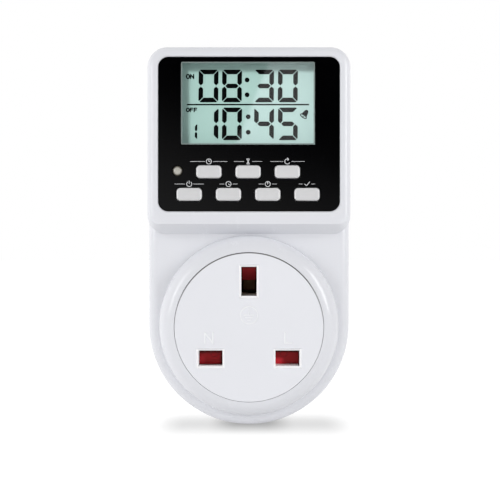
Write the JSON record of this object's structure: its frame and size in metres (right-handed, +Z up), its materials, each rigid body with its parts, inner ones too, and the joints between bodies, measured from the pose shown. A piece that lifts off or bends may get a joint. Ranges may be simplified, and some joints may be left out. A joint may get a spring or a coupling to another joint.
{
  "type": "plug-in digital timer switch",
  "caption": "Mains plug-through timer with a three-slot shuttered socket, a digital display block, press keys and a three-pin plug behind.",
  "frame": {"origin": "on the rear face that meets the wall plate, on the axis of the round socket disc", "axes": "+Y points into the wall, along the plug pins; +Z points up the wall, along the longest side; -Y points to the user"},
  "size_m": [0.061, 0.0627, 0.113],
  "materials": {
    "shell_white": "fine satin, lightly grained",
    "disc_white": "fine satin",
    "panel_black": "polished",
    "window_clear": "clear and polished",
    "key_grey": "satin",
    "plunger_black": "moulded",
    "switch_case": "moulded, tinned frame",
    "lamp_lens": "clear epoxy, unlit",
    "display_glass": "polarised, grey-green",
    "holder_white": "moulded",
    "strip_rubber": "striped silicone",
    "board_green": "solder resist",
    "chip_black": "moulded epoxy",
    "crystal_can": "plated",
    "cell_steel": "plated",
    "tab_nickel": "plated",
    "header_cream": "moulded",
    "ribbon_grey": "ribbed sheath",
    "relay_case": "moulded",
    "film_yellow": "potted box",
    "sleeve_dark": "shrunk sleeve",
    "surge_blue": "dipped",
    "diode_black": "moulded",
    "shutter_red": "satin",
    "spring_steel": "drawn wire",
    "carrier_cream": "moulded",
    "contact_brass": "stamped",
    "strap_brass": "stamped",
    "pin_brass": "bright drawn",
    "sleeve_black": "moulded",
    "clamp_cream": "moulded",
    "screw_zinc": "zinc plated"
  },
  "bodies": {
    "timer": {"front_housing": "shell_white", "rear_housing": "shell_white", "front_panel": "panel_black", "display_window": "window_clear", "socket_face": "disc_white", "shutter_spring": "spring_steel", "key_switches": "switch_case", "indicator_led": "lamp_lens", "lcd_glass": "display_glass", "lcd_holder": "holder_white", "lcd_strips": "strip_rubber", "display_board": "board_green", "controller_chip": "chip_black", "clock_crystal": "crystal_can", "backup_battery": "cell_steel", "battery_tabs": "tab_nickel", "board_headers": "header_cream", "ribbon_cable": "ribbon_grey", "power_board": "board_green", "relay": "relay_case", "film_capacitor": "film_yellow", "smoothing_capacitors": "sleeve_dark", "surge_disc": "surge_blue", "diodes": "diode_black", "contact_carrier": "carrier_cream", "live_contact": "contact_brass", "neutral_contact": "contact_brass", "earth_contact": "contact_brass", "live_strap": "strap_brass", "neutral_strap": "strap_brass", "switched_strap": "strap_brass", "live_pin": "pin_brass", "neutral_pin": "pin_brass", "earth_pin": "pin_brass", "live_sleeve": "sleeve_black", "neutral_sleeve": "sleeve_black", "pin_clamp": "clamp_cream", "housing_screws": "screw_zinc", "board_screws": "screw_zinc", "carrier_screws": "screw_zinc"},
    "timing_key": {"timing_button": "key_grey", "timing_plunger": "plunger_black"},
    "countdown_key": {"countdown_button": "key_grey", "countdown_plunger": "plunger_black"},
    "cycle_key": {"cycle_button": "key_grey", "cycle_plunger": "plunger_black"},
    "mode_key": {"mode_button": "key_grey", "mode_plunger": "plunger_black"},
    "hour_key": {"hour_button": "key_grey", "hour_plunger": "plunger_black"},
    "minute_key": {"minute_button": "key_grey", "minute_plunger": "plunger_black"},
    "enter_key": {"enter_button": "key_grey", "enter_plunger": "plunger_black"},
    "shutter": {"shutter": "shutter_red"}
  },
  "joints": [
    {"name": "timing_press", "type": "slide", "parent": "timer", "child": "timing_key", "axis": [0, 1, 0], "range_m": [0, 0.0007], "stiffness_N_per_m": 900, "springref_m": -0.0008},
    {"name": "countdown_press", "type": "slide", "parent": "timer", "child": "countdown_key", "axis": [0, 1, 0], "range_m": [0, 0.0007], "stiffness_N_per_m": 900, "springref_m": -0.0008},
    {"name": "cycle_press", "type": "slide", "parent": "timer", "child": "cycle_key", "axis": [0, 1, 0], "range_m": [0, 0.0007], "stiffness_N_per_m": 900, "springref_m": -0.0008},
    {"name": "mode_press", "type": "slide", "parent": "timer", "child": "mode_key", "axis": [0, 1, 0], "range_m": [0, 0.0007], "stiffness_N_per_m": 900, "springref_m": -0.0008},
    {"name": "hour_press", "type": "slide", "parent": "timer", "child": "hour_key", "axis": [0, 1, 0], "range_m": [0, 0.0007], "stiffness_N_per_m": 900, "springref_m": -0.0008},
    {"name": "minute_press", "type": "slide", "parent": "timer", "child": "minute_key", "axis": [0, 1, 0], "range_m": [0, 0.0007], "stiffness_N_per_m": 900, "springref_m": -0.0008},
    {"name": "enter_press", "type": "slide", "parent": "timer", "child": "enter_key", "axis": [0, 1, 0], "range_m": [0, 0.0007], "stiffness_N_per_m": 900, "springref_m": -0.0008},
    {"name": "shutter_slide", "type": "slide", "parent": "timer", "child": "shutter", "axis": [0, 0, 1], "range_m": [0, 0.0049], "stiffness_N_per_m": 60, "springref_m": -0.006, "deforming": ["shutter_spring"]}
  ]
}
